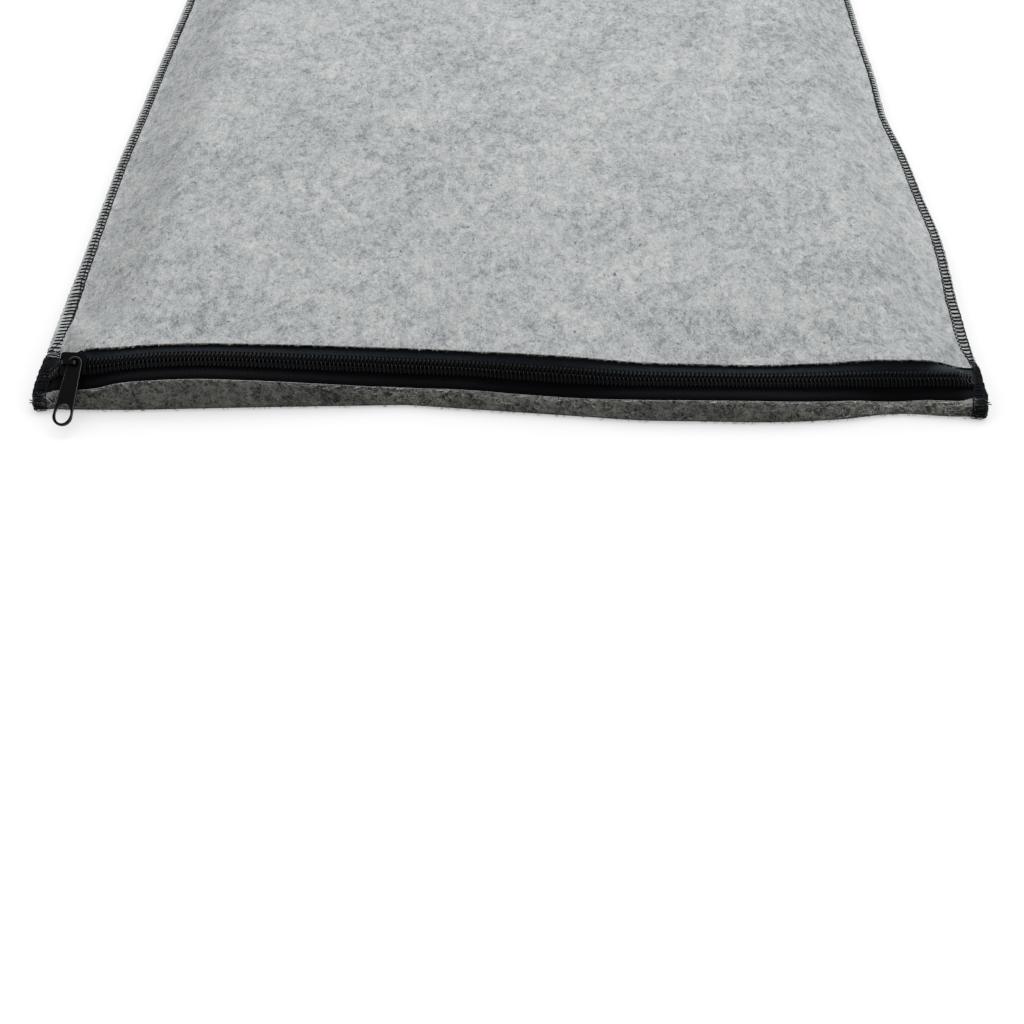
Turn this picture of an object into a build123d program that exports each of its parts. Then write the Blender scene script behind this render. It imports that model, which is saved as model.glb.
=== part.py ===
from build123d import *
from math import atan2, cos, degrees, hypot, radians, sin
import os

os.makedirs("parts", exist_ok=True)

# A felt laptop sleeve lying flat on its bottom panel, with its zip at the front.
# Millimetres. +X runs along the zip, +Y from the zip to the far end, +Z up. The origin is the
# middle of the flat bottom face. "Reach" below is a distance behind the front line of the sleeve.

# --- felt sleeve: one blank, folded at the front and at the far end -----------------------------
sleeve_width = 300.0  # over the overlocked edges
sleeve_length = 410.0
felt = 1.6  # thickness of the felt
felt_edge = 0.9  # thickness where the zip's seam squeezes a raw edge
panel_height = 17.1  # flat of the top panel
mouth_height = 17.5  # top of its front edge, which the zip holds up a little
mouth_reach = 9.6  # how far that edge stands behind the front line
open_end_drop = 2.3  # how much lower the zip lies at its open end than at its closed end
strip_height = 9.0  # upper edge of the low front strip
strip_lean = 0.6
front_radius = 2.5  # outside of the fold from the bottom panel into the strip
hem_depth = 7.0  # felt that thins towards its squeezed edge
strip_hem = 3.8

# --- the two pinched sides ----------------------------------------------------------------------
seam_width = 4.2  # the two layers that the overlock holds together
seam_lift = 1.6  # the seam's underside over the floor
seam_gap = 0.8  # between the layers, where the tapes' ends are caught
pinch_width = 2.9  # from the seam to where the mouth stands fully open
shoulder_height = 12.5  # top panel over the inner end of the pinch
shoulder_width = 16.0  # from the seam to where the top panel is flat
shoulder_depth = 25.0  # behind the mouth, before the shoulder has dropped
pinched_mouth_reach = 15.0
pinched_mouth_dip = 0.2  # the top panel's edge below the rest of the pressed seam
pinched_strip_reach = 5.5
pinched_strip_hem = 2.5
pinched_strip_tuck = 2.0
pinched_chain_rise = 0.2  # the chain's middle over the tapes' caught edges

# --- zip ----------------------------------------------------------------------------------------
tape = 0.5  # thickness of a woven tape
tape_tuck = 7.0  # tape sewn under the top panel
strip_tuck = 3.8  # tape sewn behind the strip
tape_clear = 0.2  # between a tape and the felt
chain_drop = 5.2  # from the top panel's edge down the band to the middle of the chain
chain_width = 5.2
coil_pitch = 1.3
tooth_width = 0.6
coil_height = 1.4
coil_back = 0.3  # the closed side of the coil, on the tape
coil_clear = 0.05
neck_width = 0.5
neck_clear = 0.2
cord_width = 0.7
cord_height = 0.4
cord_clear = 0.05
zip_thread = 0.25

# --- slider and pull tab ------------------------------------------------------------------------
slider_park = 9.6  # from the seam to the middle of the slider with the zip closed
slider_length = 8.0
slider_width = 6.9
nose_width = 7.6
plate = 0.75  # thickness of the slider's plates
slider_clear = 0.25  # between the slider and the chain and tapes
neck_length = 1.5
neck_inset = 0.3
slider_corner = 1.2  # radius of the plates' corners
bridge_width = 1.2
bridge_thickness = 0.8
bridge_post = 1.1
post_place = 0.9  # middle of the tail-side post, from the middle of the slider
bridge_gap = 2.45  # clear length of the tunnel under the bridge
bridge_clear = 0.4
pull = 1.0  # thickness of the pull tab
pull_head = 4.3
pull_ring = 6.1
pull_reach = 20.6  # from the post to the far edge of the ring
pull_ring_place = 17.2
pull_hole_width = 4.75
pull_hole_length = 6.3
pull_rim = 0.75
pull_eye_width = 2.4
pull_eye_length = 2.5
pull_edge = 0.2  # radius of the tab's edges
pull_tilt = 36.0  # slope of the hanging tab, in degrees below level
pull_lean = 9.0  # its lean towards the near seam

# --- overlock seams -----------------------------------------------------------------------------
stitch_pitch = 2.25
thread = 0.4
thread_clear = 0.02
looper_slant = 1.5  # width of a looper thread measured along X
needle_width = 0.5

front = -sleeve_length / 2
half_width = sleeve_width / 2
seam_x = half_width - seam_width
pinch_x = seam_x - pinch_width
shoulder_x = seam_x - shoulder_width
seam_height = 2 * felt + seam_gap
seam_top = seam_lift + seam_height
seam_middle = seam_lift + felt + seam_gap / 2


# --- the felt's profile, seen along X -----------------------------------------------------------
def turn_point(reach, height, radius, angle):
    """A point on a fold's arc, with the angle in degrees from level."""
    return (reach + radius * cos(radians(angle)), height + radius * sin(radians(angle)))


def felt_profile(lift, top, mouth, strip, fold_radius, fold_turn):
    """The folded blank cut across: lift and top are the heights of its flat parts, mouth is the
    (reach, height) of the top panel's edge, and strip gives three such points of the front
    strip: its edge's outer and inner corners, and the inner end of its hem."""
    far_radius = (top - lift) / 2
    far = sleeve_length - far_radius
    middle = lift + far_radius
    fold = lift + fold_radius
    ends = (-90, -90 - fold_turn / 2, -90 - fold_turn)
    outer_fold = [turn_point(fold_radius, fold, fold_radius, a) for a in ends]
    inner_fold = [turn_point(fold_radius, fold, fold_radius - felt, a) for a in ends]
    slope = (top - mouth[1]) / shoulder_depth
    hem_height = mouth[1] + slope * hem_depth - felt
    with BuildLine() as outline:
        Line(strip[0], outer_fold[2])
        ThreePointArc(outer_fold[2], outer_fold[1], outer_fold[0])
        Line(outer_fold[0], (far, lift))
        ThreePointArc((far, lift), (sleeve_length, middle), (far, top))
        Line((far, top), (mouth[0] + shoulder_depth, top))
        Line((mouth[0] + shoulder_depth, top), mouth)
        Line(mouth, (mouth[0], mouth[1] - felt_edge))
        Line((mouth[0], mouth[1] - felt_edge), (mouth[0] + hem_depth, hem_height))
        Line((mouth[0] + hem_depth, hem_height), (mouth[0] + shoulder_depth, top - felt))
        Line((mouth[0] + shoulder_depth, top - felt), (far, top - felt))
        ThreePointArc((far, top - felt), (sleeve_length - felt, middle), (far, lift + felt))
        Line((far, lift + felt), inner_fold[0])
        ThreePointArc(inner_fold[0], inner_fold[1], inner_fold[2])
        Line(inner_fold[2], strip[2])
        Line(strip[2], strip[1])
        Line(strip[1], strip[0])
    return outline.line


def zip_drop(x):
    """How much lower the zip lies at x than at its closed end."""
    return open_end_drop * (x + pinch_x) / (2 * pinch_x)


def open_profile(x, top):
    """The felt's profile at x, where the mouth stands open, with the top panel at that height."""
    edge = strip_height - zip_drop(x)
    strip = (
        (strip_lean, edge),
        (strip_lean + felt_edge, edge),
        (felt + strip_lean / 2, edge - strip_hem),
    )
    return (0, top, (mouth_reach, mouth_height - zip_drop(x)), strip, front_radius, 90)


seam_strip = (
    (pinched_strip_reach, seam_top),
    (pinched_strip_reach, seam_top - felt_edge),
    (pinched_strip_reach - pinched_strip_hem, seam_top - felt),
)
seam_profile = (
    seam_lift,
    seam_top,
    (pinched_mouth_reach, seam_top - pinched_mouth_dip),
    seam_strip,
    seam_height / 2,
    180,
)
stations = [
    (-half_width, seam_profile),
    (-seam_x, seam_profile),
    (-pinch_x, open_profile(-pinch_x, shoulder_height)),
    (-shoulder_x, open_profile(-shoulder_x, panel_height)),
    (shoulder_x, open_profile(shoulder_x, panel_height)),
    (pinch_x, open_profile(pinch_x, shoulder_height)),
    (seam_x, seam_profile),
    (half_width, seam_profile),
]

with BuildPart() as felt_body:
    for x, profile in stations:
        with BuildSketch(Plane.YZ.offset(x).shift_origin((x, front, 0))):
            add(felt_profile(*profile))
            make_face()
    loft(ruled=True)
felt_body.part.label = "felt_body"
export_step(felt_body.part, "parts/felt_body.step")

# --- the band: the sloping plane of the zip, from the strip's edge up to the top panel's --------
tape_seat = tape / 2 + tape_clear
band_foot = (strip_lean + felt_edge + tape_seat, strip_height)
band_head = (mouth_reach + tape_seat, mouth_height - felt_edge - tape_seat)
band_run = band_head[0] - band_foot[0]
band_rise = band_head[1] - band_foot[1]
band_angle = atan2(band_rise, band_run)
band_down = (-cos(band_angle), -sin(band_angle))
chain_reach = band_head[0] + chain_drop * band_down[0]
chain_height = band_head[1] + chain_drop * band_down[1]
chain_edge = neck_width / 2 + neck_clear  # where each tape and coil stops short of the middle
zip_line = Vector(1, 0, -open_end_drop / (2 * pinch_x)).normalized()
band_slope = Vector(0, cos(band_angle), sin(band_angle))
band = Plane(
    (0, front + chain_reach, chain_height - zip_drop(0)),
    x_dir=zip_line,
    z_dir=zip_line.cross(band_slope),
)


# --- tapes --------------------------------------------------------------------------------------
def strip_face(points):
    """The closed outline of a strip as thick as a tape, whose middle follows three points."""
    offsets = []
    for before, at, after in zip([points[0]] + points[:-1], points, points[1:] + [points[-1]]):
        along_in = (Vector(*at) - Vector(*before)).normalized() if before != at else None
        along_out = (Vector(*after) - Vector(*at)).normalized() if after != at else None
        along = (along_in or along_out) + (along_out or along_in)
        along = along.normalized()
        spread = tape / 2 / along.dot(along_out or along_in)
        offsets.append(Vector(-along.Y, along.X) * spread)
    upper = [Vector(*p) + o for p, o in zip(points, offsets)]
    lower = [Vector(*p) - o for p, o in zip(points, offsets)]
    return upper + lower[::-1]


def hem_slope(profile):
    """How the underside of the top panel's hem rises or falls behind the mouth."""
    top, mouth = profile[1], profile[2]
    return (top - mouth[1]) / shoulder_depth - (felt - felt_edge) / hem_depth


def upper_line(x, top):
    """The middle of the upper tape at x, where the mouth stands open."""
    tuck_rise = hem_slope(open_profile(x, top)) * tape_tuck
    points = [
        (chain_reach - chain_edge * band_down[0], chain_height - chain_edge * band_down[1]),
        band_head,
        (band_head[0] + tape_tuck, band_head[1] + tuck_rise),
    ]
    return [(reach, height - zip_drop(x)) for reach, height in points]


def lower_line(x):
    """The middle of the lower tape at x, where the mouth stands open."""
    points = [
        (chain_reach + chain_edge * band_down[0], chain_height + chain_edge * band_down[1]),
        band_foot,
        (band_foot[0] + strip_lean / 2, band_foot[1] - strip_tuck),
    ]
    return [(reach, height - zip_drop(x)) for reach, height in points]


pinched_chain = (pinched_mouth_reach + pinched_strip_reach) / 2
pinched_chain_height = seam_middle + pinched_chain_rise
upper_pinched = [
    (pinched_chain + chain_edge, pinched_chain_height),
    (pinched_mouth_reach + tape_seat, seam_middle),
    (pinched_mouth_reach + tape_seat + tape_tuck, seam_middle),
]
lower_pinched = [
    (pinched_chain - chain_edge, pinched_chain_height),
    (pinched_strip_reach + tape_seat, seam_middle),
    (pinched_strip_reach - pinched_strip_tuck, seam_middle),
]
caught_x = half_width - tape
open_stations = (
    (-pinch_x, shoulder_height),
    (-shoulder_x, panel_height),
    (shoulder_x, panel_height),
    (pinch_x, shoulder_height),
)
upper_open = [(x, upper_line(x, top)) for x, top in open_stations]
lower_open = [(x, lower_line(x)) for x, top in open_stations]


def with_caught_ends(caught, opened):
    """Stations from seam to seam: opened ones, with a caught line on each side of them."""
    left = [(-caught_x, caught), (-seam_x, caught)]
    return left + opened + [(-x, line) for x, line in reversed(left)]


with BuildPart() as upper_zip_tape:
    for x, middle_line in with_caught_ends(upper_pinched, upper_open):
        with BuildSketch(Plane.YZ.offset(x).shift_origin((x, front, 0))):
            with BuildLine():
                Polyline(*strip_face(middle_line), close=True)
            make_face()
    loft(ruled=True)
upper_zip_tape.part.label = "upper_zip_tape"
export_step(upper_zip_tape.part, "parts/upper_zip_tape.step")

with BuildPart() as lower_zip_tape:
    for x, middle_line in with_caught_ends(lower_pinched, lower_open):
        with BuildSketch(Plane.YZ.offset(x).shift_origin((x, front, 0))):
            with BuildLine():
                Polyline(*strip_face(middle_line), close=True)
            make_face()
    loft(ruled=True)
lower_zip_tape.part.label = "lower_zip_tape"
export_step(lower_zip_tape.part, "parts/lower_zip_tape.step")


# --- zip chain: on each tape a coil, with a core cord in it and a thread that sews it down --------
coil_reach = pinch_x - coil_pitch / 2  # straight as far as the mouth stands open
tooth_from = chain_edge
coil_out = chain_width / 2
coil_base = tape / 2 + coil_clear
coil_middle = coil_base + coil_height / 2
tooth_count = int(2 * coil_reach / coil_pitch)
first_tooth = -tooth_count * coil_pitch / 2
cord_place = (tooth_from + coil_out - coil_back) / 2
cord_length = 2 * coil_reach - 2 * cord_clear


def coil_outline():
    """The upper coil in the plane of the band: its closed back, with a tooth for each turn."""
    root = coil_out - coil_back
    corners = [(-coil_reach, coil_out), (-coil_reach, root)]
    for number in range(tooth_count):
        left = first_tooth + number * coil_pitch
        right = left + tooth_width
        corners += [(left, root), (left, tooth_from), (right, tooth_from), (right, root)]
    corners += [(coil_reach, root), (coil_reach, coil_out)]
    return corners


with BuildPart() as upper_coil:
    with BuildSketch(band.offset(coil_base)):
        with BuildLine():
            Polyline(*coil_outline(), close=True)
        make_face()
    extrude(amount=coil_height)
    with BuildSketch(band.offset(coil_middle)):
        with Locations((0, cord_place)):
            Rectangle(2 * coil_reach, cord_width + 2 * cord_clear)
    extrude(amount=cord_height / 2 + cord_clear, both=True, mode=Mode.SUBTRACT)
upper_coil.part.label = "upper_coil"
export_step(upper_coil.part, "parts/upper_coil.step")

# The lower coil is the upper one turned over, half a pitch along, so that the teeth alternate.
chain_mirror = Plane(band.origin, x_dir=zip_line, z_dir=band.y_dir)
turned_coil = Pos(zip_line * coil_pitch / 2) * mirror(upper_coil.part, about=chain_mirror)
with BuildPart() as lower_coil:
    add(turned_coil)
lower_coil.part.label = "lower_coil"
export_step(lower_coil.part, "parts/lower_coil.step")

for name, side in (("upper_coil_cord", 1), ("lower_coil_cord", -1)):
    with BuildPart() as cord:
        with BuildSketch(band.offset(coil_middle)):
            with Locations((0, side * cord_place)):
                Rectangle(cord_length, cord_width)
        extrude(amount=cord_height / 2, both=True)
    cord.part.label = name
    export_step(cord.part, f"parts/{name}.step")

coil_thread_place = coil_out - coil_back - zip_thread / 2
for name, side in (("upper_coil_stitching", 1), ("lower_coil_stitching", -1)):
    with BuildPart() as coil_thread:
        with BuildSketch(band.offset(coil_base + coil_height + thread_clear)):
            with Locations((0, side * coil_thread_place)):
                Rectangle(cord_length, zip_thread)
        extrude(amount=zip_thread)
    coil_thread.part.label = name
    export_step(coil_thread.part, f"parts/{name}.step")

# --- the seams that sew the tapes to the felt: the thread inside the sleeve, under each tape ----
def seam_point(line, along):
    """Where a zip's seam thread lies under its tape: half way between the bend and the edge."""
    bend, edge = line[1], line[2]
    off = tape / 2 + thread_clear + zip_thread / 2
    run, rise = edge[0] - bend[0], edge[1] - bend[1]
    size = hypot(run, rise)
    middle = (bend[0] + run / 2, bend[1] + rise / 2)
    return (middle[0] + along * off * rise / size, middle[1] - along * off * run / size)


for name, lines, along in (
    ("upper_zip_seam_thread", upper_open, 1),
    ("lower_zip_seam_thread", lower_open, -1),
):
    with BuildPart() as zip_seam:
        for x, middle_line in lines:
            with BuildSketch(Plane.YZ.offset(x).shift_origin((x, front, 0))):
                with Locations(seam_point(middle_line, along)):
                    Rectangle(zip_thread, zip_thread)
        loft(ruled=True)
    zip_seam.part.label = name
    export_step(zip_seam.part, f"parts/{name}.step")

# --- overlock seams: three threads down each side -------------------------------------------------
far_flat = sleeve_length / 2 - seam_height  # short of the far fold
front_flat = front + seam_height
stitch_count = int((far_flat - front_flat) / stitch_pitch)
looper_in = seam_x + needle_width + thread_clear + looper_slant / 2
looper_out = half_width - looper_slant / 2
needle_x = seam_x + needle_width / 2


def looper_outline(side):
    """A thread that zigzags across the seam: side is -1 on the left and +1 on the right."""
    near, away = [], []
    for number in range(2 * stitch_count + 1):
        y = front_flat + number * stitch_pitch / 2
        x = side * (looper_out if number % 2 else looper_in)
        near.append((x - looper_slant / 2, y))
        away.append((x + looper_slant / 2, y))
    return near + away[::-1]


for word, side in (("left", -1), ("right", 1)):
    with BuildPart() as needle:
        with BuildSketch(Plane.XY.offset(seam_top + thread_clear)):
            with Locations((side * needle_x, (front_flat + far_flat) / 2)):
                Rectangle(needle_width, far_flat - front_flat)
        extrude(amount=thread)
    needle.part.label = f"{word}_overlock_needle_thread"
    export_step(needle.part, f"parts/{word}_overlock_needle_thread.step")

    with BuildPart() as upper_looper:
        with BuildSketch(Plane.XY.offset(seam_top + thread_clear)):
            with BuildLine():
                Polyline(*looper_outline(side), close=True)
            make_face()
        extrude(amount=thread)
    upper_looper.part.label = f"{word}_overlock_upper_looper"
    export_step(upper_looper.part, f"parts/{word}_overlock_upper_looper.step")

    with BuildPart() as lower_looper:
        with BuildSketch(Plane.XY.offset(seam_lift - thread_clear)):
            with BuildLine():
                Polyline(*looper_outline(side), close=True)
            make_face()
        extrude(amount=-thread)
    lower_looper.part.label = f"{word}_overlock_lower_looper"
    export_step(lower_looper.part, f"parts/{word}_overlock_lower_looper.step")

# --- slider: two plates joined by a neck, with a bridge that holds the pull tab -------------------
slider_rest = slider_park - seam_x
slider_origin = (slider_rest, front + chain_reach, chain_height - zip_drop(slider_rest))
slider_base = Plane(slider_origin, x_dir=zip_line, z_dir=band.z_dir)
slider_side = Plane(slider_origin, x_dir=zip_line, z_dir=-band.y_dir)
chain_top = coil_base + coil_height + thread_clear + zip_thread
plate_under = chain_top + slider_clear
plate_top = plate_under + plate
slot_half = tape / 2 + slider_clear
flange_in = coil_out + slider_clear
nose = -slider_length / 2
tail = slider_length / 2
shoulder = nose + slider_length / 3


def plate_outline():
    """The slider's plate from above: wide at the nose, narrower towards the tail."""
    Polyline(
        (nose, -nose_width / 2), (shoulder, -nose_width / 2), (tail, -slider_width / 2),
        (tail, slider_width / 2), (shoulder, nose_width / 2), (nose, nose_width / 2),
        close=True,
    )


bridge_from = post_place - bridge_post / 2 - bridge_gap - bridge_post
bridge_to = post_place + bridge_post / 2
tunnel_top = plate_top + bridge_clear + pull + bridge_clear
bridge_top = tunnel_top + bridge_thickness
with BuildPart() as slider_body:
    with BuildSketch(slider_base.offset(plate_under)):
        with BuildLine():
            plate_outline()
        make_face()
        fillet(vertices(), radius=slider_corner)
    extrude(amount=plate)
    with BuildSketch(slider_base.offset(-slot_half)):
        with BuildLine():
            plate_outline()
        make_face()
        fillet(vertices(), radius=slider_corner)
    extrude(amount=-plate)
    with BuildSketch(slider_base.offset(slot_half)):
        for side in (-1, 1):
            with Locations((slider_corner / 2, side * (flange_in + slider_width / 2) / 2)):
                Rectangle(slider_length - 2 * slider_corner, slider_width / 2 - flange_in)
    extrude(amount=plate_under - slot_half)
    with BuildSketch(slider_base.offset(-slot_half)):
        with Locations((nose + neck_inset + neck_length / 2, 0)):
            Rectangle(neck_length, neck_width)
    extrude(amount=plate_under + slot_half)
    with BuildSketch(slider_side):
        with Locations(((bridge_from + bridge_to) / 2, (plate_top + bridge_top) / 2)):
            Rectangle(bridge_to - bridge_from, bridge_top - plate_top)
        fillet(vertices().group_by(Axis.Y)[-1], radius=bridge_post)
        with Locations((post_place - (bridge_post + bridge_gap) / 2, (plate_top + tunnel_top) / 2)):
            Rectangle(bridge_gap, tunnel_top - plate_top, mode=Mode.SUBTRACT)
    extrude(amount=bridge_width / 2, both=True)
slider_body.part.label = "slider_body"
export_step(slider_body.part, "parts/slider_body.step")

# --- pull tab: hangs over the lower tape from the bridge's tail-side post --------------------------
pull_level = plate_top + bridge_clear + pull / 2
pivot = Vector(*slider_origin) + zip_line * post_place + band.z_dir * pull_level
tilt = radians(pull_tilt)
lean = radians(pull_lean)
pull_normal = Vector(0, -sin(tilt), cos(tilt))
pull_across = Vector(cos(lean), -sin(lean) * cos(tilt), -sin(lean) * sin(tilt))
pull_plane = Plane(pivot, x_dir=pull_across, z_dir=pull_normal)
head = pull_head / 2
ring = pull_ring / 2
with BuildPart() as pull_tab:
    with BuildSketch(pull_plane):
        with BuildLine():
            ThreePointArc((-head, 0), (0, head), (head, 0))
            Line((head, 0), (ring, -pull_ring_place))
            ThreePointArc((ring, -pull_ring_place), (0, -pull_reach), (-ring, -pull_ring_place))
            Line((-ring, -pull_ring_place), (-head, 0))
        make_face()
    extrude(amount=pull / 2, both=True)
    fillet(edges().filter_by(pull_plane), radius=pull_edge)
    with BuildSketch(pull_plane.offset(-pull)):
        RectangleRounded(pull_eye_width, pull_eye_length, pull_eye_width / 4)
        with Locations((0, pull_rim + pull_hole_length / 2 - pull_reach)):
            Ellipse(pull_hole_width / 2, pull_hole_length / 2)
    extrude(amount=2 * pull, mode=Mode.SUBTRACT)
pull_tab.part.label = "pull_tab"
export_step(pull_tab.part, "parts/pull_tab.step")
print("chain at reach", chain_reach, "height", chain_height, "band angle", degrees(band_angle))
print("pivot", pivot, "normal", pull_normal, "coil top", chain_top, "bridge top", bridge_top)
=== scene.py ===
# %% [markdown]
# # A felt laptop sleeve with a coil zip
# The sleeve is one blank of grey needled felt, folded at the front and at the far end, with its
# two sides overlocked in black thread and a nylon coil zip across the open end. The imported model
# gives every size and place, and this script dresses it. Soft goods never lie straight, so most
# of the work is in two curves: how the zip and the front edge wave, and how the seams curl.

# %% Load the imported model
import math
import random
from bisect import bisect_left

import bmesh
import bpy
from mathutils import Matrix, Vector, noise


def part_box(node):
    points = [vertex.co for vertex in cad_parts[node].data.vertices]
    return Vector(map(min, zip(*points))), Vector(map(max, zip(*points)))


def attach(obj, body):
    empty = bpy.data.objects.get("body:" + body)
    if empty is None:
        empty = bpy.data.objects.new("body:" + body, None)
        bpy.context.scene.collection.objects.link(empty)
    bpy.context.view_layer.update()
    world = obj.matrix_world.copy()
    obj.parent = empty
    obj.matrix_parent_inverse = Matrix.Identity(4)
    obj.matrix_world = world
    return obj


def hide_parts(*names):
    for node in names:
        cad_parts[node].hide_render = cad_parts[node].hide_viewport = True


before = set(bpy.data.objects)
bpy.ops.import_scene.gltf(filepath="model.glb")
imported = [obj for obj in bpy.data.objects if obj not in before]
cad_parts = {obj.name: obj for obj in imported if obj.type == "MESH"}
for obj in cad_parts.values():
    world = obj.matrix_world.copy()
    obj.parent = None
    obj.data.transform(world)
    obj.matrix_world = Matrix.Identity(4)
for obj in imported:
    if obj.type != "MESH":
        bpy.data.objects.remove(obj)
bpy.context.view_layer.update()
MM = 0.001
felt_low, felt_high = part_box("felt_body")
front_line = felt_low.y
sleeve_length = (felt_high.y - felt_low.y) / MM
half_width = felt_high.x / MM
print("sleeve", round(2 * half_width), "by", round(sleeve_length), "mm")

# %% [markdown]
# ## Points and curves
# Every shape below is worked out in millimetres across the sleeve (x), behind its front line
# (reach) and above the table (height). `place` turns that into metres in the model's frame, and
# `through` draws a smooth curve through a few stations, as a draughtsman's spline does.


# %% Points and curves
def place(x, reach, height):
    """A point of the frame, in metres, from millimetres."""
    return Vector((x * MM, front_line + reach * MM, height * MM))


def through(stations, x):
    """The value at x of a smooth curve through (x, value) stations, level beyond its ends."""
    if x <= stations[0][0]:
        return stations[0][1]
    if x >= stations[-1][0]:
        return stations[-1][1]
    after = next(k for k, station in enumerate(stations) if x < station[0])
    (x0, v0), (x1, v1) = stations[after - 1], stations[after]

    def slope(k):
        if k in (0, len(stations) - 1):
            return 0.0
        run = stations[k + 1][0] - stations[k - 1][0]
        return (stations[k + 1][1] - stations[k - 1][1]) / run

    h = x1 - x0
    t = (x - x0) / h
    return (
        (2 * t**3 - 3 * t**2 + 1) * v0
        + (t**3 - 2 * t**2 + t) * h * slope(after - 1)
        + (3 * t**2 - 2 * t**3) * v1
        + (t**3 - t**2) * h * slope(after)
    )


def ease(low, high, x):
    """0 below low, 1 above high, smooth between."""
    t = min(1.0, max(0.0, (x - low) / (high - low)))
    return t * t * (3 - 2 * t)


def blend(a, b, share):
    return tuple(p + (q - p) * share for p, q in zip(a, b))


print("points are placed from the front line, at y", round(front_line / MM), "mm")

# %% [markdown]
# ## How the mouth waves
# Felt springs open a little between its seams, so the zip bows up at one end and sags at the
# other. A cloth simulation would find some such wave, but not this one, so four curves along the
# zip draw it: the front fold's reach, the strip's height, and the reach and height of the top
# panel's raw edge. At both ends of the slider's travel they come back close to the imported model's
# straight line, so that the rigid slider sits on the dressed zip.

# %% The four curves of the mouth
felt = 1.6
fold_reach = [
    (-150, 0), (-131, 0), (-118, 0.15), (-99, 1.05), (-72, 2.3), (-44, 3.4), (-33, 3.8),
    (-15, 2.2), (3, 0.5), (22, -1.3), (41, -3.1), (60, -3.4), (78, -3.65), (90, -3.2),
    (106, -1.5), (116, 0.5), (126, 1.4), (137, 0.4), (150, 0),
]
strip_height = [
    (-143, 7.3), (-135, 7.5), (-130, 8.0), (-127, 8.8), (-123, 9.9), (-117, 10.7), (-99, 11.2),
    (-81, 10.2), (-62, 8.7), (-44, 7.2), (-30, 6.5), (-15, 7.1), (3, 6.8), (22, 6.7), (41, 7.6),
    (60, 7.8), (78, 7.9), (97, 7.1), (108, 6.5), (116, 5.1), (124, 4.6), (133, 5.6), (143, 5.7),
]
mouth_reach = [
    (-143, 9.4), (-132, 9.6), (-126.5, 10.2), (-118, 11.2), (-109, 12.0), (-90, 13.1),
    (-62, 13.4), (-34, 13.6), (-15, 12.2), (3, 9.0), (22, 7.6), (41, 7.9), (60, 8.2),
    (78, 8.3), (97, 8.6), (116, 8.9), (126, 9.3), (133, 9.6), (143, 9.6),
]
mouth_height = [
    (-143, 16.9), (-138, 17.2), (-132, 17.35), (-126, 17.15), (-118, 17.3), (-109, 17.5),
    (-90, 17.1), (-62, 16.4), (-34, 15.5), (-15, 15.7), (3, 17.1), (22, 16.8), (41, 14.8),
    (60, 14.1), (78, 13.8), (97, 14.5), (116, 15.8), (126, 15.6), (133, 15.28), (143, 15.2),
]
print("the mouth's edge is drawn by", len(mouth_height), "stations")

# %% [markdown]
# ## How the side seams lie
# The two layers meet in a flat seam that lies just over the table. At the front corner the seam
# curls up, because it also holds the ends of the zip and of the upright strip. `seam_lines` is
# that curl seen from the side, one line for each corner, and `seam_bow` is how far each side
# strays from straight along its length.

# %% The seams' curves
seam_x = 145.8  # the needle line, about 4 mm in from the raw edge
seam_lines = {
    -1: [(0.3, 0.9), (0.1, 2.6), (1.2, 4.3), (4.5, 5.3), (9, 6.0), (15, 6.5), (22, 6.4),
         (30, 5.6), (42, 4.4), (60, 3.7), (100, 3.5), (200, 3.5), (300, 3.5), (402, 3.5),
         (408.4, 3.5)],
    1: [(0.3, 0.9), (0.1, 3.0), (1.0, 5.0), (4, 6.4), (8, 7.2), (12, 7.2), (16, 6.4),
        (21, 5.2), (30, 4.3), (45, 3.9), (60, 3.6), (100, 3.5), (200, 3.5), (300, 3.5),
        (402, 3.5), (408.4, 3.5)],
}
seam_bow = {
    -1: [(0, -0.4), (10, -0.8), (20, -1.1), (33, -0.4), (45, 0.1), (57, 0.3), (96, 0.3),
         (124, 0.5), (154, 0.5), (187, -0.4), (222, -0.9), (259, -1.7), (300, -2.5), (380, -1.2),
         (410, -0.3)],
    1: [(0, -0.2), (8, -0.9), (20, -0.2), (38, 0.3), (49, 0.7), (61, 1.1), (74, 2.0), (100, 2.8),
        (128, 1.4), (159, 0.2), (191, -2.4), (226, -1.6), (264, -1.8), (305, -1.3), (410, -0.3)],
}


def walk(line):
    """A smooth line through points, every 0.25 mm or so, as (distance along, reach, height)."""
    marks = [0.0]
    for a, b in zip(line, line[1:]):
        marks.append(marks[-1] + math.dist(a, b))
    reaches, heights = ([(mark, point[k]) for mark, point in zip(marks, line)] for k in (0, 1))
    count = int(marks[-1] / 0.25)
    steps = []
    for k in range(count + 1):
        at = through(reaches, marks[-1] * k / count), through(heights, marks[-1] * k / count)
        along = steps[-1][0] + math.dist(at, steps[-1][1:]) if steps else 0.0
        steps.append((along, *at))
    return steps


seam_walks = {side: walk(line) for side, line in seam_lines.items()}


def on_seam(side, along, off=0.0):
    """(reach, height) on a corner's seam line at that distance along it, and off it, upwards."""
    steps = seam_walks[side]
    along = min(max(along, 0.0), steps[-1][0])
    k = max(bisect_left(steps, (along,)) - 1, 0)
    a, b = steps[k], steps[k + 1]
    t = (along - a[0]) / (b[0] - a[0])
    _, reach, height = blend(a, b, t)
    first, last = steps[max(0, k - 4)], steps[min(len(steps) - 1, k + 5)]
    run = Vector((last[1] - first[1], last[2] - first[2])).normalized()
    return reach - run.y * off, height + run.x * off


def side_of(x):
    """1 on the right, -1 on the left."""
    return 1 if x > 0 else -1


def bowed(x, reach):
    """x after the sides have strayed from straight."""
    side = side_of(x)
    return x + side * ease(70, 148, abs(x)) * through(seam_bow[side], reach)


def laid(x, reach, height):
    """A point of the frame, once the sides have strayed."""
    return place(bowed(x, reach), reach, height)


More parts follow.
